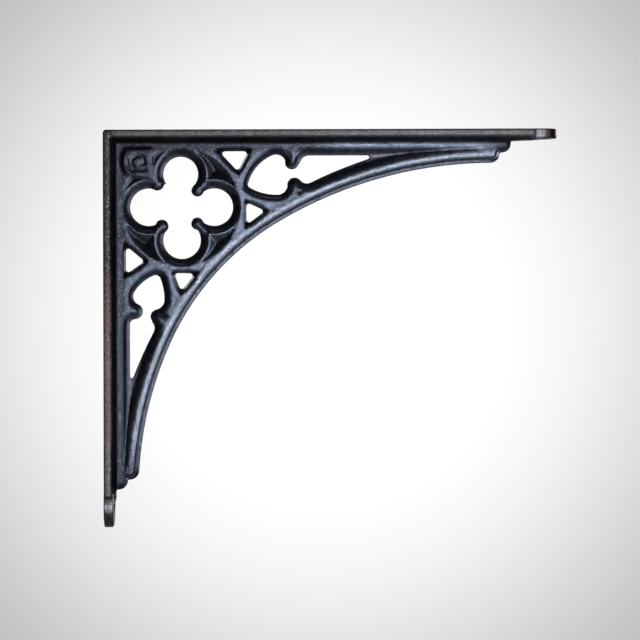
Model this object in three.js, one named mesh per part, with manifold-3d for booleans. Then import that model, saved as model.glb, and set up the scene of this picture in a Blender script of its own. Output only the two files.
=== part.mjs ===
// Ornate cast iron shelf bracket: two arms at a right angle, a pierced tracery web between them,
// and a three-centred arch below. Millimetres, +X away from the wall, +Z up, mirror-symmetric in Y.
// The drawing plane is (u, v): u runs out along the shelf arm and v runs down the wall arm, both
// from the outer corner. The thickness w is centred on the web's middle plane.
import * as THREE from 'three';
import { mergeVertices } from 'three/addons/utils/BufferGeometryUtils.js';
import Module from 'manifold-3d';

// Reach of the two arms, and how far the origin lies below the shelf on the wall arm's back
const SHELF_REACH = 203.2;
const WALL_DROP = 177.8;
const ORIGIN_DROP = 88.9;

// Arms: a strip whose inner side slopes from a thin edge up to the web
const ARM_WIDTH = 15;
const ARM_EDGE = 2.8;
const ARM_ROOT = 5.9;
const ARM_END = 5.3;
const ARM_TIP = 4.3;
const ARM_TAPER = 5;
const CORNER_RADIUS = 1.3;

// Round lobe at the end of each arm, with a countersunk screw hole
const SHELF_LOBE_RADIUS = 8;
const WALL_LOBE_RADIUS = 9;
const LOBE_THICKNESS = 4.3;
const LOBE_EDGE = 0.7;
const SCREW_RADIUS = 2.5;
const SCREW_HEAD_RADIUS = 4.6;
const SCREW_SINK = 2.2;

// Web: its thickness, the land left at its middle, the straps on its face and their chamfer
const WEB_THICKNESS = 6;
const LAND = 1.6;
const STRAP = 2.6;
const CHAMFER = 3;

// Rib along the arch: an outer lip, the slope up to its face, and the face
const LIP = 1;
const LIP_SLOPE = 1;
const LIP_DROP = 1;
const RIB_FACE = 3.9;

// Stepped ends of the web, measured back from the tip of each arm
const LEDGE_DEPTH = 10.4;
const LEDGE_RADIUS = 3.9;
const LEDGE_CHAMFER = 2;
const SHELF_LEDGE_SETBACK = 20.8;
const WALL_LEDGE_SETBACK = 16.9;
const SHELF_RIB_STEP = 5;
const WALL_RIB_STEP = 4.4;
const RIB_END_RADIUS = 4;

// Three-centred arch: where it springs from, its radii, and the joints of the crown arc in degrees
const SHELF_SPRING_DEPTH = 15;
const WALL_SPRING_DEPTH = 15.3;
const SHELF_ARC_RADIUS = 188;
const CROWN_ARC_RADIUS = 120.6;
const WALL_ARC_RADIUS = 162.8;
const SHELF_ARC_JOINT = 59.4;
const WALL_ARC_JOINT = 24.3;

// Quatrefoil in the ring: foils and cusps by their direction and reach from the ring's centre
const FOIL_CHAMFER = 3;
const FOIL_RIM = 1.2;
const FOILS = [
  { turn: 0, reach: 15, radius: 8.4 },
  { turn: 88, reach: 14.8, radius: 8.4 },
  { turn: 180, reach: 14.3, radius: 8.4 },
  { turn: 270, reach: 14.8, radius: 7.8 },
];
const CUSP_CLEARANCE = 0.8;
const CUSPS = [
  { turn: -45, reach: 10.6, radius: 2.8 },
  { turn: 45, reach: 10.4, radius: 2.8 },
  { turn: 135, reach: 12, radius: 3 },
  { turn: 225, reach: 14.9, radius: 3.1 },
];

// Sunk panels between the ring and the foils: thickness left at their floor, and their draft
const PANEL_FLOOR = 2.6;
const PANEL_DRAFT = 0.5;

// Boss on the ring towards the bracket's corner: its corners as circles (u, v, radius, bow of the
// side that follows) from its centre, and the rosette in it
const BOSS_DIRECTION = 225;
const BOSS_LIFT = 0.7;
const BOSS_HEIGHT = 0.6;
const BOSS_CORNERS = [[5.8, -5.8, 0.9, 0], [6.8, 6.9, 0.9, 0], [-3.2, 3.7, 2.4, 9.4], [-4, -3.9, 2.6, 0]];
const ROSETTE_RADII = [4.4, 2.3];
const ROSETTE_GROOVE = 0.9;
const ROSETTE_DEPTH = 1;

// Small piercings: corners (u, v) from the ring's centre, for a ring of PATTERN_RING
const PATTERN_RING = 27.3;
const PIERCING_RADIUS = 1.1;
const PIERCING_CHAMFER = 0.9;
const PIERCINGS = {
  underShelf: [[19.8, -23.9], [28.5, -23.9], [25.4, -17.9]],
  besideWall: [[-23.6, 19.6], [-18.1, 24.2], [-23.6, 28]],
  shelfSideOfRib: [[30.6, -0.4], [35.7, 2], [30.6, 5.8]],
  wallSideOfRib: [[-1.5, 30.7], [4.2, 30.8], [0.4, 35.6]],
};

// Mouchettes: a bulbous head and a long tail. A head's circle is (along the arm from the ring's
// centre, across from the arm's outer face, radius, bow of the side that follows it), and a cusp's
// is the same without a bow. The tail's shoulder lies on the border, its heel on the rib, and its
// tip between the two, clear of the rib.
const HEAD_CHAMFER = 2.2;
const CHANNEL_SETBACK = 8;
const CHANNEL_TIP_RADIUS = 0.5;
const SHELF_MOUCHETTE = {
  head: [[31.7, 24.4, 1.6, 19], [42.8, 15.4, 4.4, 0], [43.3, 24.4, 4.6, 24]],
  cusps: [[49.8, 14.6, 3.1], [51, 24.6, 3.3]],
  shoulder: { along: 57.4, radius: 4 },
  heel: { along: 56.5, radius: 3.6 },
  tip: { radius: 0.8, clearance: 0.9 },
};
const WALL_MOUCHETTE = {
  head: [[32.7, 23.1, 2.3, 20], [39.9, 17.2, 4.2, 0], [41.4, 22.5, 4.5, 26]],
  cusps: [[46.6, 13.9, 3.5], [48.9, 23.7, 3]],
  shoulder: { along: 52.4, radius: 2.2 },
  heel: { along: 54.1, radius: 3.8 },
  tip: { radius: 0.7, clearance: 1.3 },
};

// Finish, the error allowed on curves, and how far a cutter runs past a face
const IRON_COLOR = 0x2b2e36;
const IRON_ROUGHNESS = 0.45;
const IRON_METALNESS = 0.85;
const CHORD_ERROR = 0.03;
const OVERSHOOT = 1.2;

const HALF_WEB = WEB_THICKNESS / 2;
const HALF_LAND = LAND / 2;
const RIB_DEPTH = LIP + LIP_SLOPE + RIB_FACE + CHAMFER;
const BORDER_EDGE = ARM_ROOT + STRAP + CHAMFER;
const FULL_TURN = 2 * Math.PI;

const wasm = await Module();
wasm.setup();

// Makes a solid of a closed geometry, without the empty triangles at a lathe's poles.
function solid(geometry) {
  geometry.deleteAttribute('normal');
  geometry.deleteAttribute('uv');
  const merged = mergeVertices(geometry);
  const index = Array.from(merged.index.array);
  const corners = [];
  for (let i = 0; i < index.length; i += 3) {
    const [a, b, c] = index.slice(i, i + 3);
    if (a !== b && b !== c && c !== a) {
      corners.push(a, b, c);
    }
  }
  const vertProperties = new Float32Array(merged.attributes.position.array);
  const triVerts = new Uint32Array(corners);
  return new wasm.Manifold(new wasm.Mesh({ numProp: 3, vertProperties, triVerts }));
}

function union(solids) {
  return solids.reduce((sum, next) => sum.add(next));
}

const point = (x, y) => new THREE.Vector2(x, y);
const swapped = ({ x, y }) => point(y, x);

// Shortest turn from one direction to another
function turnTo(from, to) {
  return THREE.MathUtils.euclideanModulo(to - from + Math.PI, FULL_TURN) - Math.PI;
}

// Number of straight steps that keep an arc within the chord error
function arcSteps(radius, sweep) {
  const step = 2 * Math.acos(1 - CHORD_ERROR / Math.max(radius, CHORD_ERROR));
  return Math.max(1, Math.ceil(Math.abs(sweep) / step));
}

function arcPoints(centre, radius, from, sweep) {
  const steps = arcSteps(radius, sweep);
  return Array.from({ length: steps + 1 }, (_, i) => {
    const angle = from + (sweep * i) / steps;
    return point(centre.x + radius * Math.cos(angle), centre.y + radius * Math.sin(angle));
  });
}

function wholeCircle(centre, radius) {
  return arcPoints(centre, radius, 0, FULL_TURN).slice(1);
}

// The point at distances a from p and b from q, on the left (side 1) or right (-1) of the way to q
function meet(p, a, q, b, side) {
  const way = q.clone().sub(p);
  const span = way.length();
  const along = (a * a - b * b + span * span) / (2 * span);
  const off = side * Math.sqrt(Math.max(a * a - along * along, 0));
  way.normalize();
  return point(p.x + along * way.x - off * way.y, p.y + along * way.y + off * way.x);
}

const circle = (x, y, radius, bow = 0) => ({ centre: point(x, y), radius, bow });

// The side of a belt from circle a to circle b: the directions in which it leaves a and reaches b,
// and its points. A bow above zero bulges it with that radius, and one below zero hollows it.
function sideOf(a, b) {
  if (a.bow === 0) {
    const run = b.centre.clone().sub(a.centre);
    const lean = Math.asin((a.radius - b.radius) / run.length());
    const direction = run.angle() - Math.PI / 2 + lean;
    return { leaves: direction, reaches: direction, points: [] };
  }
  const sign = Math.sign(a.bow);
  const radius = Math.abs(a.bow);
  const centre = meet(a.centre, radius - sign * a.radius, b.centre, radius - sign * b.radius, sign);
  const start = a.centre.clone().sub(centre).angle();
  const end = b.centre.clone().sub(centre).angle();
  const flip = sign > 0 ? 0 : Math.PI;
  const points = arcPoints(centre, radius, start, turnTo(start, end)).slice(1, -1);
  return { leaves: start + flip, reaches: end + flip, points };
}

// Closed outline round a list of circles, from +x towards +y, like a belt round pulleys
function belt(circles) {
  const sides = circles.map((item, i) => sideOf(item, circles[(i + 1) % circles.length]));
  return circles.flatMap((item, i) => {
    const from = sides[(i + circles.length - 1) % circles.length].reaches;
    const sweep = THREE.MathUtils.euclideanModulo(sides[i].leaves - from, FULL_TURN);
    return [...arcPoints(item.centre, item.radius, from, sweep), ...sides[i].points];
  });
}

// Slab about the middle plane, whose outline is moved in by bevel at both faces
function slab(points, half, bevel = 0, bevelHeight = 0) {
  const geometry = new THREE.ExtrudeGeometry(new THREE.Shape(points), {
    depth: 2 * (half - bevelHeight),
    bevelEnabled: bevel !== 0,
    bevelThickness: bevelHeight,
    bevelSize: bevel,
    bevelOffset: -bevel,
    bevelSegments: 1,
  });
  geometry.translate(0, 0, bevelHeight - half);
  return geometry;
}

// Cutter that keeps its outline on the land and is wider by chamfer at the web's faces
function flared(points, chamfer) {
  const bevelHeight = HALF_WEB - HALF_LAND + OVERSHOOT;
  const bevel = (-chamfer * bevelHeight) / (HALF_WEB - HALF_LAND);
  return solid(slab(points, HALF_WEB + OVERSHOOT, bevel, bevelHeight));
}

function straight(points) {
  return solid(slab(points, HALF_WEB + OVERSHOOT));
}

// Solid of (radius, height) points turned round the y axis
function lathe(profile) {
  const widest = Math.max(...profile.map(([radius]) => radius));
  const outline = profile.map(([radius, height]) => point(radius, height));
  return new THREE.LatheGeometry(outline, arcSteps(widest, FULL_TURN));
}

// The same, turned round the w axis at a place in the drawing plane
function turned(centre, profile) {
  const geometry = lathe(profile);
  geometry.rotateX(Math.PI / 2);
  geometry.translate(centre.x, centre.y, 0);
  return solid(geometry);
}

// Profile that is the same on both sides of the middle plane, from points of its upper half
function bothSides(upper) {
  const lower = upper.map(([radius, height]) => [radius, -height]).reverse();
  return [...lower, ...upper];
}

// What is drawn along the shelf arm is laid along the wall arm by half a turn about the diagonal.
function layAlong(geometry, isWall) {
  if (isWall) {
    const diagonal = new THREE.Vector3(1, 1, 0).normalize();
    geometry.applyMatrix4(new THREE.Matrix4().makeRotationAxis(diagonal, Math.PI));
  }
  return solid(geometry);
}

function outlineAlong(points, isWall) {
  return isWall ? points.map(swapped).reverse() : points;
}

// Ends of the web, and the arch between its two springing points
const shelfLedgeEnd = SHELF_REACH - SHELF_LEDGE_SETBACK;
const wallLedgeEnd = WALL_DROP - WALL_LEDGE_SETBACK;
const shelfSpring = point(shelfLedgeEnd - SHELF_RIB_STEP, SHELF_SPRING_DEPTH);
const wallSpring = point(WALL_SPRING_DEPTH, wallLedgeEnd - WALL_RIB_STEP);

function towardsCorner(degrees) {
  const angle = Math.PI + THREE.MathUtils.degToRad(degrees);
  return point(Math.cos(angle), Math.sin(angle));
}

const shelfJoint = towardsCorner(SHELF_ARC_JOINT);
const wallJoint = towardsCorner(WALL_ARC_JOINT);
const shelfGap = SHELF_ARC_RADIUS - CROWN_ARC_RADIUS;
const wallGap = WALL_ARC_RADIUS - CROWN_ARC_RADIUS;
const crownCentre = meet(
  shelfSpring.clone().addScaledVector(shelfJoint, shelfGap),
  SHELF_ARC_RADIUS,
  wallSpring.clone().addScaledVector(wallJoint, wallGap),
  WALL_ARC_RADIUS,
  -1,
);
const shelfCentre = crownCentre.clone().addScaledVector(shelfJoint, -shelfGap);
const wallCentre = crownCentre.clone().addScaledVector(wallJoint, -wallGap);

// The arch between two of its ends, moved into the iron by offset
function archPoints(offset, shelfEnd, wallEnd) {
  const start = shelfEnd.clone().sub(shelfCentre).angle();
  const first = shelfJoint.angle();
  const second = wallJoint.angle();
  const end = wallEnd.clone().sub(wallCentre).angle();
  return [
    ...arcPoints(shelfCentre, SHELF_ARC_RADIUS + offset, start, first - start),
    ...arcPoints(crownCentre, CROWN_ARC_RADIUS + offset, first, second - first).slice(1),
    ...arcPoints(wallCentre, WALL_ARC_RADIUS + offset, second, end - second).slice(1),
  ];
}

// The ring's inner edge touches the inner edges of both border straps and of the rib's face.
const strapLine = ARM_ROOT + STRAP / 2;
const ribLine = CROWN_ARC_RADIUS + LIP + LIP_SLOPE + RIB_FACE - STRAP / 2;
const ringSum = crownCentre.x + crownCentre.y - 2 * strapLine + ribLine;
const ringProduct = (crownCentre.x - strapLine) ** 2 + (crownCentre.y - strapLine) ** 2 - ribLine ** 2;
const ringRadius = ringSum - Math.sqrt(ringSum ** 2 - ringProduct);
const ringCentre = point(strapLine + ringRadius, strapLine + ringRadius);

function fromRing(degrees, distance) {
  const angle = THREE.MathUtils.degToRad(degrees);
  return point(ringCentre.x + distance * Math.cos(angle), ringCentre.y + distance * Math.sin(angle));
}

function arm(length, ledgeEnd, lobeRadius, isWall) {
  const half = ARM_WIDTH / 2;
  const section = new THREE.Shape([
    point(0, -half),
    point(ARM_EDGE, -half),
    point(ARM_ROOT, -HALF_WEB),
    point(ARM_ROOT, HALF_WEB),
    point(ARM_EDGE, half),
    point(0, half),
  ]);
  const strip = new THREE.ExtrudeGeometry(section, { depth: length - lobeRadius, bevelEnabled: false });
  strip.applyMatrix4(new THREE.Matrix4().makeBasis(
    new THREE.Vector3(0, 1, 0),
    new THREE.Vector3(0, 0, 1),
    new THREE.Vector3(1, 0, 0),
  ));
  const crown = slab([
    point(0, 0),
    point(length, 0),
    point(length, ARM_TIP),
    point(ledgeEnd, ARM_END),
    point(ledgeEnd - ARM_TAPER, ARM_ROOT),
    point(0, ARM_ROOT),
  ], ARM_WIDTH);
  return layAlong(strip, isWall).intersect(layAlong(crown, isWall));
}

function lobe(length, radius, isWall) {
  const disc = lathe([
    [0, 0],
    [radius, 0],
    [radius, LOBE_THICKNESS - LOBE_EDGE],
    [radius - LOBE_EDGE, LOBE_THICKNESS],
    [0, LOBE_THICKNESS],
  ]);
  disc.translate(length - radius, 0, 0);
  return layAlong(disc, isWall);
}

function screwHole(length, radius, isWall) {
  const spread = (SCREW_HEAD_RADIUS - SCREW_RADIUS) / SCREW_SINK;
  const hole = lathe([
    [0, -OVERSHOOT],
    [SCREW_RADIUS, -OVERSHOOT],
    [SCREW_RADIUS, LOBE_THICKNESS - SCREW_SINK],
    [SCREW_HEAD_RADIUS + spread * OVERSHOOT, LOBE_THICKNESS + OVERSHOOT],
    [0, LOBE_THICKNESS + OVERSHOOT],
  ]);
  hole.translate(length - radius, 0, 0);
  return layAlong(hole, isWall);
}

// Plate under each arm, which steps back from the arm's end
function ledge(end, isWall) {
  const corner = point(end - LEDGE_RADIUS, LEDGE_DEPTH - LEDGE_RADIUS);
  const outline = [
    point(0, 0),
    point(end, 0),
    ...arcPoints(corner, LEDGE_RADIUS, 0, Math.PI / 2),
    point(0, LEDGE_DEPTH),
  ];
  return layAlong(slab(outline, HALF_WEB, LEDGE_CHAMFER, LIP_DROP), isWall);
}

// Centre of the round that joins an end of the web, at the distance end, to the arch beside it
function endRound(end, archCentre, archRadius) {
  const along = end - RIB_END_RADIUS;
  const drop = Math.sqrt((archRadius + RIB_END_RADIUS) ** 2 - (along - archCentre.x) ** 2);
  return point(along, archCentre.y - drop);
}

// Outline of the spandrel between the arms and the arch, moved in from its ends and from the arch
function spandrel(inset) {
  const quarter = Math.PI / 2;
  const shelfEnd = shelfSpring.x - inset;
  const wallEnd = wallSpring.y - inset;
  const shelfRound = endRound(shelfEnd, shelfCentre, SHELF_ARC_RADIUS + inset);
  const wallRound = swapped(endRound(wallEnd, swapped(wallCentre), WALL_ARC_RADIUS + inset));
  const toShelfArch = shelfCentre.clone().sub(shelfRound).angle();
  const toWallArch = wallCentre.clone().sub(wallRound).angle();
  return [
    point(0, 0),
    point(shelfEnd, 0),
    ...arcPoints(shelfRound, RIB_END_RADIUS, 0, toShelfArch),
    ...archPoints(inset, shelfRound, wallRound).slice(1, -1),
    ...arcPoints(wallRound, RIB_END_RADIUS, toWallArch, turnTo(toWallArch, quarter)),
    point(0, wallEnd),
  ];
}

function web() {
  const lip = solid(slab(spandrel(0), HALF_WEB - LIP_DROP));
  const face = solid(slab(spandrel(LIP), HALF_WEB, LIP_SLOPE, LIP_DROP));
  return union([lip, face, ledge(shelfLedgeEnd, false), ledge(wallLedgeEnd, true)]);
}

// The rib with its chamfer towards the openings, which trims what is cut beside it
function ribTrim() {
  const outer = archPoints(-RIB_DEPTH, shelfSpring, wallSpring);
  const inner = archPoints(RIB_DEPTH, shelfSpring, wallSpring);
  return solid(slab([...outer, ...inner.reverse()], HALF_WEB, CHAMFER, HALF_WEB - HALF_LAND));
}

function landTrim() {
  return solid(slab(wholeCircle(ringCentre, SHELF_REACH + WALL_DROP), HALF_LAND));
}

function quatrefoil() {
  const foils = FOILS.map(({ turn, reach, radius }) => (
    flared(wholeCircle(fromRing(turn, reach), radius), FOIL_CHAMFER)
  ));
  const middle = CUSPS.map(({ turn, reach }) => fromRing(turn, reach + CUSP_CLEARANCE));
  const cusps = CUSPS.map(({ turn, reach, radius }) => cusp(fromRing(turn, reach), radius, FOIL_CHAMFER));
  return union([...foils, straight(middle)]).subtract(union(cusps));
}

// Rounded end of a cusp: a cone on each side of the land, as steep as the chamfer beside it
function cusp(centre, radius, chamfer) {
  const rise = (HALF_WEB - HALF_LAND) * Math.min(radius / chamfer, 1);
  const top = HALF_LAND + rise;
  return turned(centre, bothSides([[radius, HALF_LAND], [Math.max(radius - chamfer, 0), top], [0, top]]));
}

const bossCentre = fromRing(BOSS_DIRECTION, ringRadius).sub(point(0, BOSS_LIFT));
const bossOutline = belt(BOSS_CORNERS.map(([u, v, radius, bow]) => (
  circle(bossCentre.x + u, bossCentre.y + v, radius, bow)
)));

function panels() {
  const top = HALF_WEB + OVERSHOOT;
  const floor = PANEL_FLOOR / 2;
  const ringEdge = ringRadius - STRAP / 2;
  const field = turned(ringCentre, bothSides([[ringEdge - PANEL_DRAFT, floor], [ringEdge, top], [0, top]]));
  const rims = FOILS.map(({ turn, reach, radius }) => {
    const edge = radius + FOIL_CHAMFER + FOIL_RIM;
    return turned(fromRing(turn, reach), bothSides([[edge + PANEL_DRAFT, floor], [edge, top], [0, top]]));
  });
  const middle = solid(slab(wholeCircle(ringCentre, ringRadius), floor));
  return field.subtract(union([...rims, middle, straight(bossOutline)]));
}

function boss() {
  const half = HALF_WEB + BOSS_HEIGHT;
  return solid(slab(bossOutline, half, BOSS_HEIGHT, BOSS_HEIGHT));
}

// Round grooves of the rosette, on both faces of the boss
function rosette() {
  const top = HALF_WEB + OVERSHOOT;
  const floor = HALF_WEB + BOSS_HEIGHT - ROSETTE_DEPTH;
  return ROSETTE_RADII.flatMap((outer) => {
    const inner = outer - ROSETTE_GROOVE;
    const front = [[outer, floor], [outer, top], [inner, top], [inner, floor], [outer, floor]];
    const back = front.map(([radius, height]) => [radius, -height]).reverse();
    return [turned(bossCentre, front), turned(bossCentre, back)];
  });
}

function piercings() {
  const scale = ringRadius / PATTERN_RING;
  return Object.values(PIERCINGS).map((corners) => (
    flared(belt(corners.map(([u, v]) => (
      circle(ringCentre.x + u * scale, ringCentre.y + v * scale, PIERCING_RADIUS)
    ))), PIERCING_CHAMFER)
  ));
}

// A mouchette, worked out in (along, across) with the centre and radius of the arch beside it
function mouchette(spec, archCentre, archRadius, springAlong, isWall) {
  const reach = archRadius + RIB_DEPTH;
  const start = ringCentre.x;
  const place = ([along, across, radius, bow]) => circle(start + along, across, radius, bow);
  const onRib = (radius, offset) => Math.sqrt((reach + radius) ** 2 - offset ** 2);
  const head = spec.head.map(place);
  const cusps = spec.cusps.map(place);
  const shoulder = place([spec.shoulder.along, BORDER_EDGE + spec.shoulder.radius, spec.shoulder.radius]);
  const heelAlong = start + spec.heel.along;
  const heelAcross = archCentre.y - onRib(spec.heel.radius, archCentre.x - heelAlong);
  const heel = circle(heelAlong, heelAcross, spec.heel.radius);
  const tipAcross = BORDER_EDGE + spec.tip.radius;
  const tipAlong = archCentre.x - onRib(spec.tip.radius + spec.tip.clearance, archCentre.y - tipAcross);
  const tip = circle(tipAlong, tipAcross, spec.tip.radius, -reach);
  const channelAcross = BORDER_EDGE + CHANNEL_TIP_RADIUS;
  const channelTip = circle(springAlong - CHANNEL_SETBACK, channelAcross, CHANNEL_TIP_RADIUS);
  const outline = (points) => outlineAlong(points, isWall);
  const throat = [head[1], cusps[0], shoulder, heel, cusps[1], head[2]].map(({ centre }) => centre);
  const channel = flared(outline(belt([shoulder, channelTip, heel])), CHAMFER)
    .subtract(ribTrim())
    .subtract(landTrim());
  const ends = cusps.map(({ centre, radius }) => cusp(outline([centre])[0], radius, CHAMFER));
  return union([
    flared(outline(belt(head)), HEAD_CHAMFER),
    channel,
    straight(outline(belt([shoulder, tip, heel]))),
    straight(outline(throat)),
  ]).subtract(union(ends));
}

// Everything outside the rounded corner where the arms meet
function cornerTrim() {
  const round = point(CORNER_RADIUS, CORNER_RADIUS);
  const outline = [
    point(CORNER_RADIUS, 0),
    ...arcPoints(round, CORNER_RADIUS, -Math.PI / 2, -Math.PI / 2).slice(1, -1),
    point(0, CORNER_RADIUS),
    point(-CORNER_RADIUS, CORNER_RADIUS),
    point(-CORNER_RADIUS, -CORNER_RADIUS),
    point(CORNER_RADIUS, -CORNER_RADIUS),
  ];
  return solid(slab(outline, ARM_WIDTH));
}

function bracket() {
  const iron = union([
    web(),
    arm(SHELF_REACH, shelfLedgeEnd, SHELF_LOBE_RADIUS, false),
    arm(WALL_DROP, wallLedgeEnd, WALL_LOBE_RADIUS, true),
    lobe(SHELF_REACH, SHELF_LOBE_RADIUS, false),
    lobe(WALL_DROP, WALL_LOBE_RADIUS, true),
    boss(),
  ]);
  const cut = union([
    quatrefoil(),
    panels(),
    ...piercings(),
    ...rosette(),
    mouchette(SHELF_MOUCHETTE, shelfCentre, SHELF_ARC_RADIUS, shelfSpring.x, false),
    mouchette(WALL_MOUCHETTE, swapped(wallCentre), WALL_ARC_RADIUS, wallSpring.y, true),
    screwHole(SHELF_REACH, SHELF_LOBE_RADIUS, false),
    screwHole(WALL_DROP, WALL_LOBE_RADIUS, true),
    cornerTrim(),
  ]);
  return iron.subtract(cut);
}

const { vertProperties, triVerts } = bracket().getMesh();
const geometry = new THREE.BufferGeometry();
geometry.setAttribute('position', new THREE.BufferAttribute(vertProperties, 3));
geometry.setIndex(new THREE.BufferAttribute(triVerts, 1));
geometry.computeVertexNormals();

const ironFinish = new THREE.MeshStandardMaterial({
  color: IRON_COLOR,
  roughness: IRON_ROUGHNESS,
  metalness: IRON_METALNESS,
});
const casting = new THREE.Mesh(geometry, ironFinish);
casting.name = 'bracket_casting';

// Drawing plane to the part's frame: v down becomes -Z, and w becomes Y.
casting.rotation.x = -Math.PI / 2;
casting.position.z = ORIGIN_DROP;

const part = new THREE.Group();
part.add(casting);

export default part;
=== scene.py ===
import math

import bmesh
import bpy
import numpy as np
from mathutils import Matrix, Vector


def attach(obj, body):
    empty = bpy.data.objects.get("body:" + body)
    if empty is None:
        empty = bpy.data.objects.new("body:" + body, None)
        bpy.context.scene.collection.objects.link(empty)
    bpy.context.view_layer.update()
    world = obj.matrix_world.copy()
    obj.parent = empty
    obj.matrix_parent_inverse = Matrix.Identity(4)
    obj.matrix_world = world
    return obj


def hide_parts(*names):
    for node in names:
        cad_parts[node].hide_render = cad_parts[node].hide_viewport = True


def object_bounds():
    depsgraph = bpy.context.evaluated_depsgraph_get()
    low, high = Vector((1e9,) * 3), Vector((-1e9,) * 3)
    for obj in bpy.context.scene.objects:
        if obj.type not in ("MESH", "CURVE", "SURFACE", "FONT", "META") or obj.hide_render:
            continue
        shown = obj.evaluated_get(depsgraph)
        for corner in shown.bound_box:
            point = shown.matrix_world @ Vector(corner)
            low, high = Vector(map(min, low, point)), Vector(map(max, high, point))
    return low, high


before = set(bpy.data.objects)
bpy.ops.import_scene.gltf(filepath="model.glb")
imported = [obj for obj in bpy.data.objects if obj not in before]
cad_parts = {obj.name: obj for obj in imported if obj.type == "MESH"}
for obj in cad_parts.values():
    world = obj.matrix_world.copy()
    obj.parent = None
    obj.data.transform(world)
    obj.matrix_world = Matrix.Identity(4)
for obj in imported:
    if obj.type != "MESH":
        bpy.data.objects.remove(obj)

NODE = "bracket_casting"
MM = 0.001
cad_low, cad_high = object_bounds()

# Photograph: millimetres to a pixel, and the pixel of the casting's outer corner
PHOTO_SIDE = 640
MM_PER_PIXEL = 0.4473
CORNER_PIXEL = (103.8, 129.5)

# Camera: millimetres to the casting's face, roll in degrees, and width of its sensor
CAMERA_DISTANCE = 1400
CAMERA_ROLL = 0.17
SENSOR = 36

# Casting in its drawing plane, in millimetres: u runs along the shelf arm and v down the wall arm,
# both from the outer corner, and w across the thickness. The arms' slopes reach the web's face at
# ARM_ROOT, and its relief is softened from WEB_FROM on. HALF_WEB and HALF_LAND are half the
# thickness of the web and of the land round its openings. A strap runs down the web beside each
# arm, with its middle at STRAP_LINE.
SHELF_REACH = cad_high.x / MM
WALL_DROP = (cad_high.z - cad_low.z) / MM
ARM_ROOT = 5.9
WEB_FROM = 4.6
HALF_WEB = 3
HALF_LAND = 0.8
STRAP = 2.6
STRAP_LINE = ARM_ROOT + STRAP / 2

# Ends of the ledges under the arms, and the arch between them: where it springs from, the radii of
# its three arcs, and the joints of the crown arc in degrees
SHELF_LEDGE_END = SHELF_REACH - 20.8
WALL_LEDGE_END = WALL_DROP - 16.9
SHELF_SPRING = (SHELF_LEDGE_END - 5, 15)
WALL_SPRING = (15.3, WALL_LEDGE_END - 4.4)
SHELF_ARC, CROWN_ARC, WALL_ARC = 188, 120.6, 162.8
SHELF_JOINT, WALL_JOINT = 59.4, 24.3

# Distances from the arch: where the ring's middle touches the rib, the middle of the rib's low roll
# and how far it reaches and rises, the bead along the lip, and the groove beside it
RING_TOUCH = 4.6
RIB_MIDDLE, RIB_REACH, RIB_RISE = 3.7, 2.7, 0.12
LIP_BEAD = 0.5
LIP_GROOVE = 1.6
GROOVE_WIDTH = 0.75
GROOVE_DEPTH = 0.45

# Rolls: the thickness of those that stand just proud of the web and the width of each, the bead's
# width and thickness, and how far the bead and the straps stop short of their ends
ROLL_THICKNESS = 2 * HALF_WEB + 0.3
STRAP_ROLL, RING_ROLL, RIM_ROLL = 2.8, 3, 1.5
BEAD_WIDTH, BEAD_THICKNESS = 1, 4.4
BEAD_SHORT = 4
STRAP_SHORT = 3

# Quatrefoil: foils (turn, reach, radius) and the knobs of its cusps (turn, reach), from the ring's
# centre, and how far out from it the cusps are rooted
FOILS = [(0, 15, 8.4), (88, 14.8, 8.4), (180, 14.3, 8.4), (270, 14.8, 7.8)]
CUSPS = [(-45, 10.6), (45, 10.4), (135, 12), (225, 14.9)]
CUSP_ROOT = 17
FOIL_CHAMFER = 3
FOIL_RIM = 1.2
KNOB_RADIUS, KNOB_TOP = 3, 2.7
CUSP_RADIUS, CUSP_TOP = 2.3, 2.75
PANEL_SLOPE = 0.8
PANEL_FLOOR = 0.3
PANEL_DRAFT = 0.5

# Boss: its corners (u, v, radius) and the groove of its volute (turn, reach), from its centre, and
# how far below the web's face the groove still starts
BOSS_DIRECTION = 225
BOSS_LIFT = 0.7
BOSS_HEIGHT = 0.6
BOSS_CORNERS = [(5.8, -5.8, 0.9), (6.8, 6.9, 0.9), (-3.2, 3.7, 2.4), (-6, 0, 1.6), (-4, -3.9, 2.6)]
ROSETTE_REACH = 4.6
VOLUTE = [
    (30, 1.9), (0, 3), (-45, 3.3), (-90, 3.1), (-135, 2.5),
    (-180, 2.8), (-225, 2.6), (-270, 3), (-318, 4.7),
]
VOLUTE_ARC = [(190, 4.2), (165, 4.4), (145, 4.5), (115, 4.3)]
VOLUTE_WIDTH = 0.5
VOLUTE_DEPTH = 0.6
VOLUTE_SINK = 0.5

# Piercings: corners (u, v) from the ring's centre, for a ring of PATTERN_RING
PATTERN_RING = 27.3
PIERCING_RADIUS = 1.1
PIERCING_CHAMFER = 0.9
PIERCINGS = [
    [(19.8, -23.9), (28.5, -23.9), (25.4, -17.9)],
    [(-23.6, 19.6), (-18.1, 24.2), (-23.6, 28)],
    [(30.6, -0.4), (35.7, 2), (30.6, 5.8)],
    [(-1.5, 30.7), (4.2, 30.8), (0.4, 35.6)],
]

# Noses of the mouchettes: lines (u, v) of the ridge down each, how steeply the iron falls away
# beside them and how far, and the small sunk triangles (u, v) at the foot of two of them
NOSES = [
    [(84.6, 8.4), (85.2, 16)],
    [(86.6, 27), (85.3, 22.4)],
    [(27.2, 86.6), (22.4, 83.2)],
]
NOSE_FALL = 0.55
NOSE_REACH = 3.6
NICKS = [
    [(85.9, 26.8), (90.4, 26.5), (87.4, 29.8)],
    [(26, 85.9), (25.8, 90.2), (28.6, 87.2)],
]
NICK_SLOPE = 0.6

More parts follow.
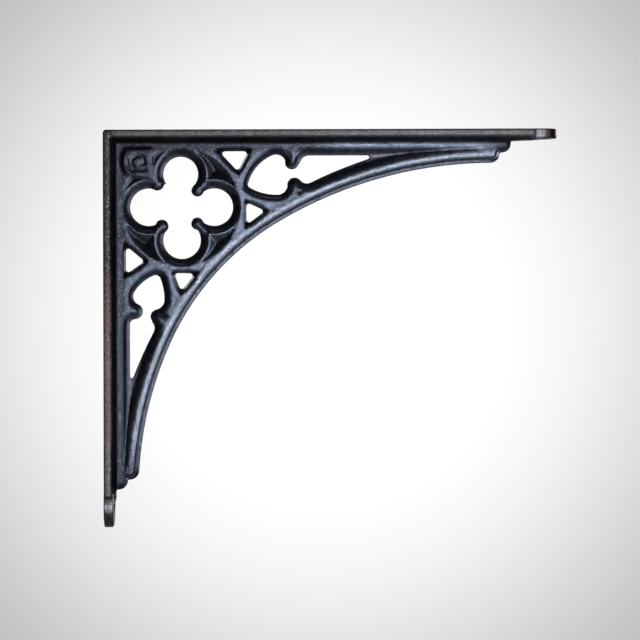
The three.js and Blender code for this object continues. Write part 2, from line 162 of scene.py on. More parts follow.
# Mesh: merging distance, voxel, passes of softening and rounding, how squarely a facet that is
# softened faces front or back, the share of the land's thickness that it has at least, how far the
# chamfers are hollowed, and triangles kept
MERGE = 0.001
VOXEL = 0.4
SOFTENING_PASSES = 6
ROUNDING_PASSES = 5
FACING = 0.3
LAND_SHARE = 0.8
HOLLOW = 1.9
TRIANGLES = 190000

# Sand skin: size and depth of its grain and of its waves
SAND_SKIN = {"Grain": 1.6, "Grain Depth": 0.02, "Wave": 7, "Wave Depth": 0.03}

# Lamps: name, place and side of the square in metres, and power in watts
LAMPS = [
    ("key", (0.145, -1.5, -0.004), 0.15, 5),
    ("right", (0.8, -0.85, -0.1), 0.8, 8),
    ("low", (0.15, -0.85, -0.76), 0.8, 8),
    ("above", (0.1, 0.5, 1.3), 0.8, 3),
    ("back_left", (-0.9, 1.3, 0.5), 0.6, 6),
    ("back_right", (1.1, 1.3, 0.2), 0.6, 6),
]

# Stage, in metres: a floor, and a card far behind that is even out to CARD_EVEN and would reach the
# brightness of its rim at CARD_FADE; and how bright the sky looks and how much it lights
FLOOR_SPOT = (0.1, 0, -0.5)
FLOOR_RADIUS = 0.9
FLOOR_SHADE = 0.75
FLOOR_GLOW = 0.42
CARD_SPOT = (0.097, 2.1, 0.004)
CARD_RADIUS = 0.52
CARD_EVEN, CARD_FADE = 0.162, 0.6
CARD_MIDDLE, CARD_RIM = 1.02, 0.47
SKY_LOOK = 0.795
SKY_LIGHT = 0.01


def polar(turn, distance):
    """Point at a distance from the origin, in a direction in degrees from u towards v."""
    angle = math.radians(turn)
    return np.array([distance * math.cos(angle), distance * math.sin(angle)])


def meet(p, a, q, b, side):
    """The point at distances a from p and b from q, on the given side of the way to q."""
    way = q - p
    span = np.linalg.norm(way)
    along = (a * a - b * b + span * span) / (2 * span)
    off = side * math.sqrt(a * a - along * along)
    way = way / span
    return p + along * way + off * np.array([-way[1], way[0]])


# Centres of the arch's three arcs
shelf_joint = polar(180 + SHELF_JOINT, 1)
wall_joint = polar(180 + WALL_JOINT, 1)
shelf_gap = SHELF_ARC - CROWN_ARC
wall_gap = WALL_ARC - CROWN_ARC
crown_centre = meet(
    np.array(SHELF_SPRING) + shelf_gap * shelf_joint,
    SHELF_ARC,
    np.array(WALL_SPRING) + wall_gap * wall_joint,
    WALL_ARC,
    -1,
)
shelf_centre = crown_centre - shelf_gap * shelf_joint
wall_centre = crown_centre - wall_gap * wall_joint

# Ring whose inner edge touches the inner edges of both straps and of the rib's face
rib_radius = CROWN_ARC + RING_TOUCH
ring_sum = crown_centre.sum() - 2 * STRAP_LINE + rib_radius
ring_product = ((crown_centre - STRAP_LINE) ** 2).sum() - rib_radius ** 2
ring_radius = ring_sum - math.sqrt(ring_sum ** 2 - ring_product)
ring_centre = np.array([STRAP_LINE + ring_radius] * 2)
boss_centre = ring_centre + polar(BOSS_DIRECTION, ring_radius) - np.array([0, BOSS_LIFT])


def from_ring(turn, distance):
    return ring_centre + polar(turn, distance)


def heading(origin, target):
    """Direction from one point to another, in degrees from u towards v."""
    way = np.array(target) - np.array(origin)
    return math.degrees(math.atan2(way[1], way[0])) % 360


def arc(centre, radius, start, end, step=1.5):
    """Points of an arc between two directions in degrees."""
    count = max(2, math.ceil(abs(end - start) / step))
    return [centre + polar(start + (end - start) * i / count, radius) for i in range(count + 1)]


def arch_line(offset, short):
    """The arch, moved into the iron by offset, from a little short of one springing to the other."""
    shelf_start = heading(shelf_centre, SHELF_SPRING) - math.degrees(short / SHELF_ARC)
    wall_stop = heading(wall_centre, WALL_SPRING) + math.degrees(short / WALL_ARC)
    first, second = 180 + SHELF_JOINT, 180 + WALL_JOINT
    return [
        *arc(shelf_centre, SHELF_ARC + offset, shelf_start, first),
        *arc(crown_centre, CROWN_ARC + offset, first, second)[1:],
        *arc(wall_centre, WALL_ARC + offset, second, wall_stop)[1:],
    ]


def arch_distance(u, v):
    """How far (u, v) lies into the iron from the arch."""
    turn = np.degrees(np.arctan2(v - crown_centre[1], u - crown_centre[0])) % 360
    arcs = [(shelf_centre, SHELF_ARC), (crown_centre, CROWN_ARC), (wall_centre, WALL_ARC)]
    distances = [np.hypot(u - centre[0], v - centre[1]) - radius for centre, radius in arcs]
    return np.select([turn > 180 + SHELF_JOINT, turn > 180 + WALL_JOINT], distances[:2], distances[2])


class Wire:
    """A value in a node tree. Python's operators on it add Math nodes."""

    def __init__(self, graph, socket):
        self.graph = graph
        self.socket = socket

    def math(self, operation, *values):
        return self.graph.add("ShaderNodeMath", {"operation": operation}, dict(enumerate(values)))

    def __add__(self, other):
        return self.math("ADD", self, other)

    def __radd__(self, other):
        return self.math("ADD", other, self)

    def __sub__(self, other):
        return self.math("SUBTRACT", self, other)

    def __rsub__(self, other):
        return self.math("SUBTRACT", other, self)

    def __mul__(self, other):
        return self.math("MULTIPLY", self, other)

    def __rmul__(self, other):
        return self.math("MULTIPLY", other, self)

    def __truediv__(self, other):
        return self.math("DIVIDE", self, other)

    def __rtruediv__(self, other):
        return self.math("DIVIDE", other, self)

    def __abs__(self):
        return self.math("ABSOLUTE", self)

    def ease(self, low, high):
        """Runs smoothly from 0 at low to 1 at high."""
        settings = {"interpolation_type": "SMOOTHSTEP"}
        inputs = {"Value": self, "From Min": low, "From Max": high}
        return self.graph.add("ShaderNodeMapRange", settings, inputs)


class Graph:
    """A node tree, and the one method that adds nodes to it."""

    def __init__(self, tree):
        self.tree = tree

    def add(self, kind, settings=None, inputs=None, output=0):
        node = self.tree.nodes.new(kind)
        for name, value in (settings or {}).items():
            setattr(node, name, value)
        for key, value in (inputs or {}).items():
            if isinstance(value, Wire):
                self.tree.links.new(value.socket, node.inputs[key])
            else:
                node.inputs[key].default_value = value
        return Wire(self, node.outputs[output]) if node.outputs else None

    def vector(self, operation, *values, output=0):
        """Vector Math on wires or triples of numbers."""
        return self.add("ShaderNodeVectorMath", {"operation": operation}, dict(enumerate(values)), output)

    def blend(self, factor, first, second):
        """Colour that goes from first to second as factor goes from 0 to 1."""
        return self.add("ShaderNodeMix", {"data_type": "RGBA"}, {0: factor, 6: first, 7: second}, 2)


def material(name):
    """New material, and its empty node tree."""
    made = bpy.data.materials.new(name)
    made.use_nodes = True
    made.node_tree.nodes.clear()
    return made, Graph(made.node_tree)


def cast_iron():
    """Dark gunmetal sand casting: mottled blue-grey, browner on the arms' edges, rusty low down, with
    painted highlights and painted shade.
    """
    made, graph = material("cast_iron")
    here = graph.add("ShaderNodeTexCoord", output="Object")
    scaled = graph.add("ShaderNodeVectorMath", {"operation": "SCALE"}, {0: here, "Scale": 1 / MM})
    out, across, up = (graph.add("ShaderNodeSeparateXYZ", inputs={0: scaled}, output=i) for i in range(3))
    aside = abs(across)
    top = cad_high.z / MM

    def cloud(size, detail=3, roughness=0.55):
        inputs = {"Vector": scaled, "Scale": 1 / size, "Detail": detail, "Roughness": roughness}
        return graph.add("ShaderNodeTexNoise", inputs=inputs)

    def way_from(spot):
        """The way here from a point (u, v) of the drawing plane."""
        return graph.vector("SUBTRACT", scaled, (spot[0], 0, top - spot[1]))

    def away(centre, radius):
        """How far this lies outside a circle of the drawing plane."""
        flat = graph.vector("MULTIPLY", way_from(centre), (1, 0, 1))
        return graph.vector("LENGTH", flat, output="Value") - radius

    def beyond(turn):
        """1 on the side of the crown's centre that the direction turn points to, and 0 on the other."""
        side_u, side_v = polar(turn, 1)
        way = way_from(crown_centre)
        return graph.vector("DOT_PRODUCT", way, (side_u, 0, -side_v), output="Value").ease(-0.01, 0.01)

    # Skin: broad mottling, blotches, a violet tint, grain and specks, convex edges lightened for wear and
    # as a painted highlight, and painted shade in crevices
    mottle = cloud(9).ease(0.35, 0.65)
    blotch = cloud(2.6, 4, 0.6).ease(0.35, 0.68)
    violet = cloud(5, 2).ease(0.48, 0.62)
    grain = cloud(0.9, 2, 0.6)
    speck = cloud(0.7, 1, 0.5).ease(0.55, 0.7)
    edge = graph.add("ShaderNodeNewGeometry", output="Pointiness")
    edge_wear_and_highlight = edge.ease(0.505, 0.56)
    crevice_shade = 1 - edge.ease(0.44, 0.5)

    # Arms, by millimetres out from the wall, up from the mount and aside from the middle: their edges,
    # their slopes that get painted shade, the wall arm's dark upper edge and rusty lower one, and on each
    # lobe a brown tip and a painted highlight on its front
    arm_edge = aside.ease(5.8, 6.6)
    arm_slope_shade = aside.ease(3.3, 3.9) * (1 - aside.ease(6.2, 6.8))
    high_wall = (1 - out.ease(3, 8)) * up.ease(-12, 10)
    low_wall = (1 - out.ease(5, 9)) * (1 - up.ease(8, 32)) * up.ease(-58, -42)
    rust = low_wall * arm_edge * cloud(5, 3).ease(0.2, 0.55)
    tips = ((1 - up.ease(-84, -80)) + out.ease(195, 199)).ease(0, 1)
    wall_lobe_highlight = (1 - up.ease(-76.6, -75.8)) * up.ease(-83, -80)
    shelf_lobe_highlight = out.ease(193, 193.8) * (1 - out.ease(196, 198))
    lobe_highlight = (wall_lobe_highlight + shelf_lobe_highlight) * (0.3 + 0.7 * blotch)

    # Arch, by the gap between it and here: the rib with a painted highlight, the darker lip, and painted
    # shade in the groove between them
    at_crown = away(crown_centre, CROWN_ARC)
    at_shelf = beyond(180 + SHELF_JOINT + 90) * (away(shelf_centre, SHELF_ARC) - at_crown)
    at_wall = beyond(180 + WALL_JOINT - 90) * (away(wall_centre, WALL_ARC) - at_crown)
    gap = at_crown + at_shelf + at_wall
    on_rib = gap.ease(1.4, 2.2) * (1 - gap.ease(4.5, 7.5))
    on_lip = 1 - gap.ease(1, 1.6)
    groove_shade = gap.ease(0.9, 1.4) * (1 - gap.ease(1.9, 2.5))

    # Web: painted shade far in from the arch, at the wall arm's foot, beside the arms except where a
    # painted highlight falls on the shelf arm's strap, and where the surface is sunk
    shade_far_in = gap.ease(16, 36)
    wall_foot_shade = (1 - up.ease(-66, -44)) * out.ease(6, 8)
    shade_beside_arm = 1 - out.math("MINIMUM", out, top - up).ease(8.5, 11.5)
    strap_highlight = out.ease(88, 108) * (1 - out.ease(164, 180))
    sunk = 1 - aside.ease(1, 2.6)

    tone = graph.blend(mottle, (0.038, 0.045, 0.068, 1), (0.068, 0.082, 0.12, 1))
    tone = graph.blend(blotch * 0.7, tone, (0.1, 0.122, 0.165, 1))
    tone = graph.blend(violet * 0.25, tone, (0.06, 0.056, 0.095, 1))
    # Convex edges lighter: partly wear, partly a painted highlight along the arrises
    tone = graph.blend(edge_wear_and_highlight * 0.4, tone, (0.14, 0.16, 0.21, 1))
    # Painted highlight along the rib's face
    tone = graph.blend(on_rib * (0.3 + 0.6 * blotch), tone, (0.16, 0.185, 0.235, 1))
    tone = graph.blend(on_lip * 0.4, tone, (0.035, 0.039, 0.052, 1))
    # Painted shade in the groove between the rib and the lip
    tone = graph.blend(groove_shade * 0.75, tone, (0.009, 0.01, 0.014, 1))
    # Painted shade beside the arms, left off where a painted highlight falls on the shelf arm's strap
    tone = graph.blend(shade_beside_arm * (1 - strap_highlight) * 0.88, tone, (0.011, 0.012, 0.019, 1))
    # Painted shade at the wall arm's foot, stronger on the rib
    tone = graph.blend(wall_foot_shade * (0.6 + 0.22 * on_rib), tone, (0.014, 0.017, 0.03, 1))
    # Painted shade far in from the arch
    tone = graph.blend(shade_far_in * 0.35, tone, (0.015, 0.015, 0.023, 1))
    # Painted shade where the surface is sunk: the panels and the feet of the chamfers
    tone = graph.blend(sunk * 0.5, tone, (0.02, 0.016, 0.014, 1))
    # Painted shade in concave creases
    tone = graph.blend(crevice_shade * 0.8, tone, (0.006, 0.006, 0.008, 1))
    tone = graph.blend(arm_edge * 0.8, tone, (0.105, 0.1, 0.108, 1))
    tone = graph.blend(arm_edge * high_wall * 0.85, tone, (0.035, 0.028, 0.028, 1))
    # Painted shade on the arms' slopes
    tone = graph.blend(arm_slope_shade * 0.8, tone, (0.008, 0.008, 0.011, 1))
    tone = graph.blend(rust * (0.5 + 0.4 * blotch), tone, (0.12, 0.06, 0.048, 1))
    tone = graph.blend(speck * (0.1 + on_rib * 0.2 + arm_edge * 0.35), tone, (0.28, 0.29, 0.33, 1))
    tone = graph.blend(tips * 0.85, tone, (0.042, 0.03, 0.026, 1))
    # Painted highlight on the front of each lobe
    tone = graph.blend(lobe_highlight * 0.8, tone, (0.4, 0.41, 0.47, 1))

    bump = graph.add("ShaderNodeBump", inputs={
        "Strength": 0.3 + arm_edge * 0.27,
        "Distance": 0.25 * MM,
        "Height": grain * 0.6 + blotch * 0.4,
    })
    shader = graph.add("ShaderNodeBsdfPrincipled", inputs={
        "Base Color": tone,
        "Metallic": 0.9 - rust * 0.6,
        "Roughness": 0.24 + 0.08 * blotch + 0.08 * grain + 0.12 * arm_edge,
        "Normal": bump,
    })
    graph.add("ShaderNodeOutputMaterial", inputs={"Surface": shader})
    return made


def grey(shade):
    return (shade, shade, shade, 1)


def floor_paper():
    """Pale matt paper, with a glow that is seen but lights nothing."""
    made, graph = material("floor")
    seen = graph.add("ShaderNodeLightPath", output="Is Camera Ray")
    shader = graph.add("ShaderNodeBsdfPrincipled", inputs={
        "Base Color": grey(FLOOR_SHADE),
        "Roughness": 0.9,
        "Emission Color": graph.blend(seen, grey(0), grey(FLOOR_GLOW)),
        "Emission Strength": 1,
    })
    graph.add("ShaderNodeOutputMaterial", inputs={"Surface": shader})
    return made


def glowing_card():
    """White card that glows, evenly near its middle and less towards its rim."""
    made, graph = material("backdrop")
    here = graph.add("ShaderNodeTexCoord", output="Object")
    fade = graph.vector("LENGTH", here, output="Value").ease(CARD_EVEN, CARD_FADE)
    glow = graph.blend(fade, grey(CARD_MIDDLE), grey(CARD_RIM))
    shader = graph.add("ShaderNodeEmission", inputs={"Color": glow, "Strength": 1})
    graph.add("ShaderNodeOutputMaterial", inputs={"Surface": shader})
    return made


def new_tree(name, values):
    """Geometry node tree with named number inputs, and the wires that come from its inputs."""
    tree = bpy.data.node_groups.new(name, "GeometryNodeTree")
    graph = Graph(tree)
    tree.interface.new_socket("Geometry", in_out="INPUT", socket_type="NodeSocketGeometry")
    for key, value in values.items():
        socket = tree.interface.new_socket(key, in_out="INPUT", socket_type="NodeSocketFloat")
        socket.default_value = value
    tree.interface.new_socket("Geometry", in_out="OUTPUT", socket_type="NodeSocketGeometry")
    start = tree.nodes.new("NodeGroupInput")
    return graph, [Wire(graph, start.outputs[i]) for i in range(len(values) + 1)]


def close_tree(graph, made, iron):
    """Ends a geometry node tree in real geometry with the casting's material."""
    real = graph.add("GeometryNodeRealizeInstances", inputs={0: made})
    finished = graph.add("GeometryNodeSetMaterial", inputs={0: real, "Material": iron})
    graph.add("NodeGroupOutput", inputs={0: finished})
    return graph.tree


def upright(graph, made, top):
    """Turns what lies in the drawing plane upright, in the casting's place."""
    return graph.add("GeometryNodeTransform", inputs={
        "Geometry": made,
        "Translation": graph.add("ShaderNodeCombineXYZ", inputs={2: top * MM}),
        "Rotation": (-math.pi / 2, 0, 0),
        "Scale": (MM, MM, MM),
    })


def moulding_tree(iron):
    """Sweeps an oval along every spline."""
    values = {"Width": STRAP_ROLL, "Thickness": ROLL_THICKNESS, "Top": cad_high.z / MM}
    graph, (path, width, thickness, top) = new_tree("moulding", values)
    level = graph.add("GeometryNodeSetCurveNormal", {"mode": "Z_UP"}, {0: path})
    size = graph.add("ShaderNodeCombineXYZ", inputs={0: width * 0.5, 1: thickness * 0.5, 2: 1})
    circle = graph.add("GeometryNodeCurvePrimitiveCircle", inputs={"Resolution": 20, "Radius": 1})
    oval = graph.add("GeometryNodeTransform", inputs={"Geometry": circle, "Scale": size})
    inputs = {0: level, "Profile Curve": oval, "Fill Caps": True}
    swept = graph.add("GeometryNodeCurveToMesh", inputs=inputs)
    return close_tree(graph, upright(graph, swept, top), iron)


def surface_tree(iron):
    """Presses a sand grain into the casting's skin, along its normals."""
    graph, (skin, grain, grain_depth, wave, wave_depth) = new_tree("sand_skin", SAND_SKIN)
    here = graph.add("GeometryNodeInputPosition")

    def swell(size, depth):
        inputs = {"Vector": here, "Scale": 1 / (size * MM), "Detail": 1}
        return (graph.add("ShaderNodeTexNoise", inputs=inputs) - 0.5) * depth * (2 * MM)

    rise = swell(grain, grain_depth) + swell(wave, wave_depth)
    out = graph.add("GeometryNodeInputNormal")
    offset = graph.add("ShaderNodeVectorMath", {"operation": "SCALE"}, {0: out, "Scale": rise})
    moved = graph.add("GeometryNodeSetPosition", inputs={"Geometry": skin, "Offset": offset})
    return close_tree(graph, moved, iron)


def nodes_on(piece, tree, values):
    """Puts a node tree on a piece, with its named inputs set by their sockets' identifiers."""
    modifier = piece.modifiers.new(tree.name, "NODES")
    modifier.node_group = tree
    names = {item.name: item.identifier for item in tree.interface.items_tree if item.in_out == "INPUT"}
    for name, value in values.items():
        modifier[names[name]] = float(value)


def linked(name, data):
    made = bpy.data.objects.new(name, data)
    bpy.context.scene.collection.objects.link(made)
    return made


def applied(piece, name):
    """A plain mesh object of what a piece's modifiers make, in the piece's place."""
    bpy.context.view_layer.update()
    evaluated = piece.evaluated_get(bpy.context.evaluated_depsgraph_get())
    mesh = bpy.data.meshes.new_from_object(evaluated)
    mesh.name = name
    bpy.data.objects.remove(piece)
    return linked(name, mesh)


def splines(name, paths):
    """Curve of straight-stepped splines through paths of (u, v), at the middle of the thickness."""
    curve = bpy.data.curves.new(name, "CURVE")
    curve.dimensions = "3D"
    for points, closed in paths:
        spline = curve.splines.new("POLY")
        spline.points.add(len(points) - 1)
        for spot, (u, v) in zip(spline.points, points):
            spot.co = (u, v, 0, 1)
        spline.use_cyclic_u = closed
    return linked(name, curve)


def moulding(name, tree, paths, width, thickness):
    """Rolls of oval section along paths of (u, v)."""
    piece = splines(name, paths)
    nodes_on(piece, tree, {"Width": width, "Thickness": thickness, "Top": cad_high.z / MM})
    return applied(piece, name)


def rim_arcs():
    """Arcs of the thin rims round the foils, each between its crossings with its neighbours' rims."""
    margin = FOIL_CHAMFER + FOIL_RIM / 2
    rims = [(from_ring(turn, reach), radius + margin) for turn, reach, radius in FOILS]
    paths = []
    for i, (centre, radius) in enumerate(rims):
        before, radius_before = rims[i - 1]
        after, radius_after = rims[(i + 1) % len(rims)]
        first = meet(centre, radius, before, radius_before, 1)
        last = meet(centre, radius, after, radius_after, -1)
        start = heading(centre, first)
        end = start + (heading(centre, last) - start) % 360
        paths.append((arc(centre, radius, start, end, 4), False))
    return paths


def disc(name, centre, radius, half, sides=48):
    """Closed disc across the casting, of half thickness half on both sides of the middle plane."""
    ring = [centre + polar(360 * i / sides, radius) for i in range(sides)]
    corners = [(u, side * half, cad_high.z / MM - v) for side in (-1, 1) for u, v in ring]
    walls = [(i, (i + 1) % sides, sides + (i + 1) % sides, sides + i) for i in range(sides)]
    faces = [tuple(range(sides - 1, -1, -1)), tuple(range(sides, 2 * sides)), *walls]
    mesh = bpy.data.meshes.new(name)
    mesh.from_pydata([Vector(c) * MM for c in corners], [], faces)
    return linked(name, mesh)


def outside(u, v, corners, origin):
    """How far (u, v) lies outside a convex outline round circles (u, v, radius); below zero inside."""
    reach = np.full(u.shape, -np.inf)
    for i, (x, y, radius) in enumerate(corners):
        next_x, next_y, next_radius = corners[(i + 1) % len(corners)]
        run = math.hypot(next_x - x, next_y - y)
        lean = math.asin((radius - next_radius) / run)
        turn = math.atan2(next_y - y, next_x - x) - math.pi / 2 + lean
        across = (u - origin[0] - x) * math.cos(turn) + (v - origin[1] - y) * math.sin(turn)
        reach = np.maximum(reach, across - radius)
    return reach


def panel_depth(u, v):
    """How far (u, v) lies inside the sunk panels between the ring and the foils."""
    from_centre = np.hypot(u - ring_centre[0], v - ring_centre[1])
    depth = ring_radius - STRAP / 2 - from_centre
    for turn, reach, radius in FOILS:
        x, y = from_ring(turn, reach)
        depth = np.minimum(depth, np.hypot(u - x, v - y) - radius - FOIL_CHAMFER - FOIL_RIM)
    depth = np.minimum(depth, outside(u, v, BOSS_CORNERS, boss_centre))
    return np.where(from_centre > ring_radius / 2, depth, -np.inf)


def carve_panels(u, v, half):
    """Sinks the panels to a V, mitred at their corners."""
    depth = panel_depth(u, v)
    carved = np.maximum(HALF_WEB - PANEL_SLOPE * np.maximum(depth, 0), PANEL_FLOOR)
    return np.where(depth > -PANEL_DRAFT, np.where(depth > 0, carved, np.maximum(half, HALF_WEB)), half)


def carve_mitres(u, v, half):
    """Runs the chamfers of each piercing out to sharp mitred corners."""
    for corners in PIERCINGS:
        scaled = [(x * ring_radius / PATTERN_RING, y * ring_radius / PATTERN_RING, 0) for x, y in corners]
        out = outside(u, v, scaled, ring_centre)
        slope = (HALF_WEB - HALF_LAND) / PIERCING_CHAMFER
        half = np.minimum(half, HALF_LAND + slope * np.maximum(out - PIERCING_RADIUS, 0))
    return half


def carve_rib(u, v, half):
    """Rounds the rib's face to a low roll, and cuts a round groove between it and the lip."""
    depth = arch_distance(u, v)
    roll = RIB_RISE * np.maximum(1 - ((depth - RIB_MIDDLE) / RIB_REACH) ** 2, 0)
    roll = roll * np.clip((half - HALF_LAND) / (HALF_WEB - HALF_LAND), 0, 1) ** 2
    groove = GROOVE_DEPTH * np.exp(-((depth - LIP_GROOVE) / GROOVE_WIDTH) ** 2)
    on_rib = (u < SHELF_SPRING[0]) & (v < WALL_SPRING[1]) & (half > HALF_LAND)
    return np.where(on_rib, half + roll - groove, half)


def raise_cusps(u, v, half):
    """Rounds the cusps of the quatrefoil and the knobs at their ends."""
    for turn, reach in CUSPS:
        way = polar(turn, 1)
        along = (u - ring_centre[0]) * way[0] + (v - ring_centre[1]) * way[1] - reach
        aside = abs((v - ring_centre[1]) * way[0] - (u - ring_centre[0]) * way[1])
        knob = KNOB_TOP * np.sqrt(np.maximum(1 - (along ** 2 + aside ** 2) / KNOB_RADIUS ** 2, 0))
        ridge = CUSP_TOP * np.sqrt(np.maximum(1 - (aside / CUSP_RADIUS) ** 2, 0))
        ridge = np.where((along > 0) & (along < CUSP_ROOT - reach), ridge, 0)
        half = np.where(half > HALF_LAND, np.maximum(half, np.maximum(knob, ridge)), half)
    return half


def carve_noses(u, v, half):
    """Gives each nose a ridge with sloping sides, and sinks the small triangles at their feet."""
    for (x, y), (end_x, end_y) in NOSES:
        run = math.hypot(end_x - x, end_y - y)
        way_x, way_y = (end_x - x) / run, (end_y - y) / run
        along = (u - x) * way_x + (v - y) * way_y
        aside = abs((v - y) * way_x - (u - x) * way_y)
        fall = HALF_WEB - NOSE_FALL * aside * np.clip(along / run, 0, 1)
        near = (along > 0) & (along < 2 * run) & (aside < NOSE_REACH) & (half > HALF_LAND)
        half = np.where(near, np.minimum(half, np.maximum(fall, HALF_LAND)), half)
    for corners in NICKS:
        turned = [(x, y, 0) for x, y in corners]
        depth = -outside(u, v, turned, (0, 0))
        half = np.where(depth > 0, np.minimum(half, HALF_WEB - NICK_SLOPE * depth), half)
    return half


def groove_path(turns):
    """Points (u, v) of stretches of spiral through (turn, reach) about the boss's centre."""
    steps = np.linspace(0, len(turns) - 1, 12 * len(turns))
    angle = np.radians(np.interp(steps, range(len(turns)), [turn for turn, reach in turns]))
    reach = np.interp(steps, range(len(turns)), [reach for turn, reach in turns])
    return np.stack([boss_centre[0] + reach * np.cos(angle), boss_centre[1] + reach * np.sin(angle)], 1)


def carve_volute(u, v, half):
    """Cuts the volute's groove into the boss."""
    near = np.hypot(u - boss_centre[0], v - boss_centre[1]) < 2 * ROSETTE_REACH
    away = np.full(u.shape, np.inf)
    spots = np.stack([u[near], v[near]], 1)
    for path in (groove_path(VOLUTE), groove_path(VOLUTE_ARC)):
        gap = np.linalg.norm(spots[:, None, :] - path[None, :, :], axis=2).min(1)
        away[near] = np.minimum(away[near], gap)
    sunk = VOLUTE_DEPTH * np.exp(-(away / VOLUTE_WIDTH) ** 2)
    return np.where(half > HALF_WEB - VOLUTE_SINK, half - sunk, half)


def softened(mesh, u, v, half):
    """Evens out the relief along the mesh's edges, but not the walls of the openings."""
    count = len(mesh.vertices)
    ends = np.empty(len(mesh.edges) * 2, np.int32)
    mesh.edges.foreach_get("vertices", ends)
    first, second = ends.reshape(-1, 2).T
    normals = np.empty(count * 3, np.float32)
    mesh.vertices.foreach_get("normal", normals)
    on_web = (u > WEB_FROM) & (v > WEB_FROM) & (panel_depth(u, v) < -PANEL_DRAFT)
    free = on_web & (abs(normals[1::3]) > FACING) & (half > HALF_LAND * LAND_SHARE)
    joined = free[first] & free[second]
    first, second = first[joined], second[joined]
    neighbours = np.bincount(first, minlength=count) + np.bincount(second, minlength=count)
    for _ in range(SOFTENING_PASSES):
        total = np.bincount(first, half[second], count) + np.bincount(second, half[first], count)
        half = np.where(neighbours > 1, (half + total) / (1 + neighbours), half)
    return half


def hollowed(u, v, half):
    """Hollows the chamfers between the land and the web's face."""
    share = np.clip((half - HALF_LAND) / (HALF_WEB - HALF_LAND), 0, 1)
    carved = HALF_LAND + (HALF_WEB - HALF_LAND) * share ** HOLLOW
    on_slope = (share > 0) & (share < 1) & (arch_distance(u, v) > LIP_GROOVE)
    return np.where(on_slope & (u > ARM_ROOT) & (v > ARM_ROOT), carved, half)


def carve(mesh):
    """Reshapes the thickness of a mesh, on both faces alike."""
    spots = np.empty(len(mesh.vertices) * 3, np.float32)
    mesh.vertices.foreach_get("co", spots)
    spots = spots.reshape(-1, 3)
    u = spots[:, 0] / MM
    v = (cad_high.z - spots[:, 2]) / MM
    half = softened(mesh, u, v, abs(spots[:, 1]) / MM)
    for change in (hollowed, raise_cusps, carve_noses, carve_panels, carve_mitres, carve_rib, carve_volute):
        half = change(u, v, half)
    spots[:, 1] = np.sign(spots[:, 1]) * half * MM
    mesh.vertices.foreach_set("co", spots.ravel())
    mesh.update()


def merged_copy(node, name):
    """Copy of a CAD node's mesh with its doubles merged."""
    work = bmesh.new()
    work.from_mesh(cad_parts[node].data)
    bmesh.ops.remove_doubles(work, verts=work.verts, dist=MERGE * MM)
    mesh = bpy.data.meshes.new(name)
    work.to_mesh(mesh)
    work.free()
    return linked(name, mesh)


def fused(pieces, name):
    """One mesh object of several overlapping ones."""
    with bpy.context.temp_override(active_object=pieces[0], selected_editable_objects=pieces):
        bpy.ops.object.join()
    pieces[0].name = name
    return pieces[0]


def casting(iron):
    """The whole bracket: the copied casting and its rolls as one skin, carved, rounded and grained."""
    roll = moulding_tree(iron)
    bead = [(arch_line(LIP_BEAD, BEAD_SHORT), False)]
    straps = [
        ([(STRAP_LINE, STRAP_LINE), (SHELF_LEDGE_END - STRAP_SHORT, STRAP_LINE)], False),
        ([(STRAP_LINE, STRAP_LINE), (STRAP_LINE, WALL_LEDGE_END - STRAP_SHORT)], False),
    ]
    ring = [(arc(ring_centre, ring_radius, 0, 358, 2), True)]
    pieces = [
        merged_copy(NODE, "copy"),
        moulding("lip_bead", roll, bead, BEAD_WIDTH, BEAD_THICKNESS),
        moulding("strap_rolls", roll, straps, STRAP_ROLL, ROLL_THICKNESS),
        moulding("ring_roll", roll, ring, RING_ROLL, ROLL_THICKNESS),
        moulding("foil_rims", roll, rim_arcs(), RIM_ROLL, ROLL_THICKNESS),
        disc("boss_fill", boss_centre, ROSETTE_REACH, HALF_WEB + BOSS_HEIGHT),
    ]
    body = fused(pieces, "fused")
    remesh = body.modifiers.new("voxels", "REMESH")
    remesh.mode = "VOXEL"
    remesh.voxel_size = VOXEL * MM
    body = applied(body, "voxelled")
    carve(body.data)
    smooth = body.modifiers.new("rounding", "SMOOTH")
    smooth.factor = 0.5
    smooth.iterations = ROUNDING_PASSES
    nodes_on(body, surface_tree(iron), SAND_SKIN)
    body = applied(body, "skinned")
    body.data.calc_loop_triangles()
    thin = body.modifiers.new("thinning", "DECIMATE")
    thin.ratio = min(1, TRIANGLES / len(body.data.loop_triangles))
    body = applied(body, "bracket")
    body.data.materials.clear()
    body.data.materials.append(iron)
    body.data.shade_smooth()
    return body


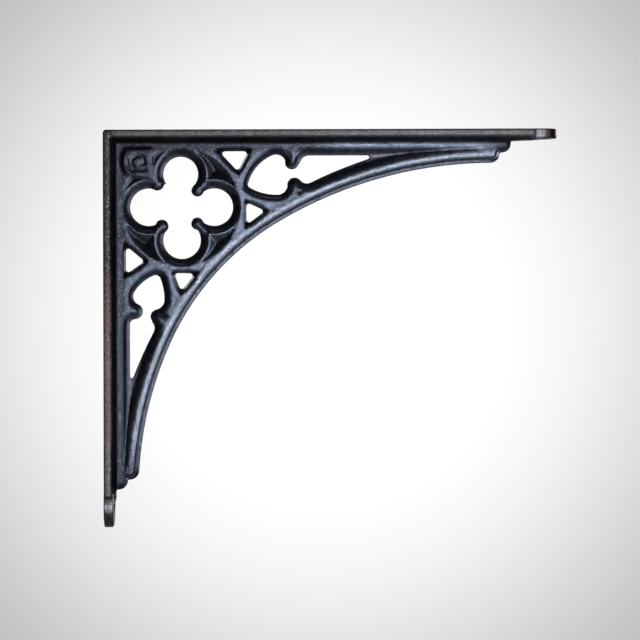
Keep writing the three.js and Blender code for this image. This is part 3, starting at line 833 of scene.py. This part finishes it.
def lamps():
    """Square soft lamps, all aimed at the middle of the casting."""
    aim = (cad_low + cad_high) / 2
    for name, spot, side, power in LAMPS:
        data = bpy.data.lights.new(name, "AREA")
        data.shape = "SQUARE"
        data.size = side
        data.energy = power
        made = linked(name, data)
        made.location = spot
        made.rotation_euler = (aim - Vector(spot)).to_track_quat("-Z", "Y").to_euler()


def camera():
    """Camera square to the casting's front, as the photograph's was."""
    data = bpy.data.cameras.new("camera")
    data.sensor_width = SENSOR
    data.lens = SENSOR * CAMERA_DISTANCE / (PHOTO_SIDE * MM_PER_PIXEL)
    made = linked("camera", data)
    out, down = ((PHOTO_SIDE / 2 - pixel) * MM_PER_PIXEL * MM for pixel in CORNER_PIXEL)
    made.location = (out, -(CAMERA_DISTANCE + HALF_WEB) * MM, cad_high.z - down)
    made.rotation_euler = (math.pi / 2, math.radians(CAMERA_ROLL), 0)
    bpy.context.scene.camera = made


def sheet(name, radius, spot, upright_card, look):
    """Round flat card, level or facing the front."""
    work = bmesh.new()
    bmesh.ops.create_circle(work, cap_ends=True, radius=radius, segments=96)
    mesh = bpy.data.meshes.new(name)
    work.to_mesh(mesh)
    work.free()
    made = linked(name, mesh)
    made.location = spot
    made.rotation_euler = (math.pi / 2 if upright_card else 0, 0, 0)
    mesh.materials.append(look)


def surroundings():
    """Pale floor, a glowing card far behind, and a world that is pale to look at and dim to reflect."""
    world = bpy.data.worlds.new("studio")
    world.use_nodes = True
    world.node_tree.nodes.clear()
    graph = Graph(world.node_tree)
    seen = graph.add("ShaderNodeLightPath", output="Is Camera Ray")
    strength = SKY_LIGHT + seen * (SKY_LOOK - SKY_LIGHT)
    sky = graph.add("ShaderNodeBackground", inputs={"Color": grey(1), "Strength": strength})
    graph.add("ShaderNodeOutputWorld", inputs={"Surface": sky})
    bpy.context.scene.world = world
    sheet("floor", FLOOR_RADIUS, FLOOR_SPOT, False, floor_paper())
    sheet("backdrop", CARD_RADIUS, CARD_SPOT, True, glowing_card())


camera()
bracket = casting(cast_iron())
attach(bracket, "root")
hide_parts(NODE)
surroundings()
lamps()
bpy.context.scene.view_settings.view_transform = "Standard"
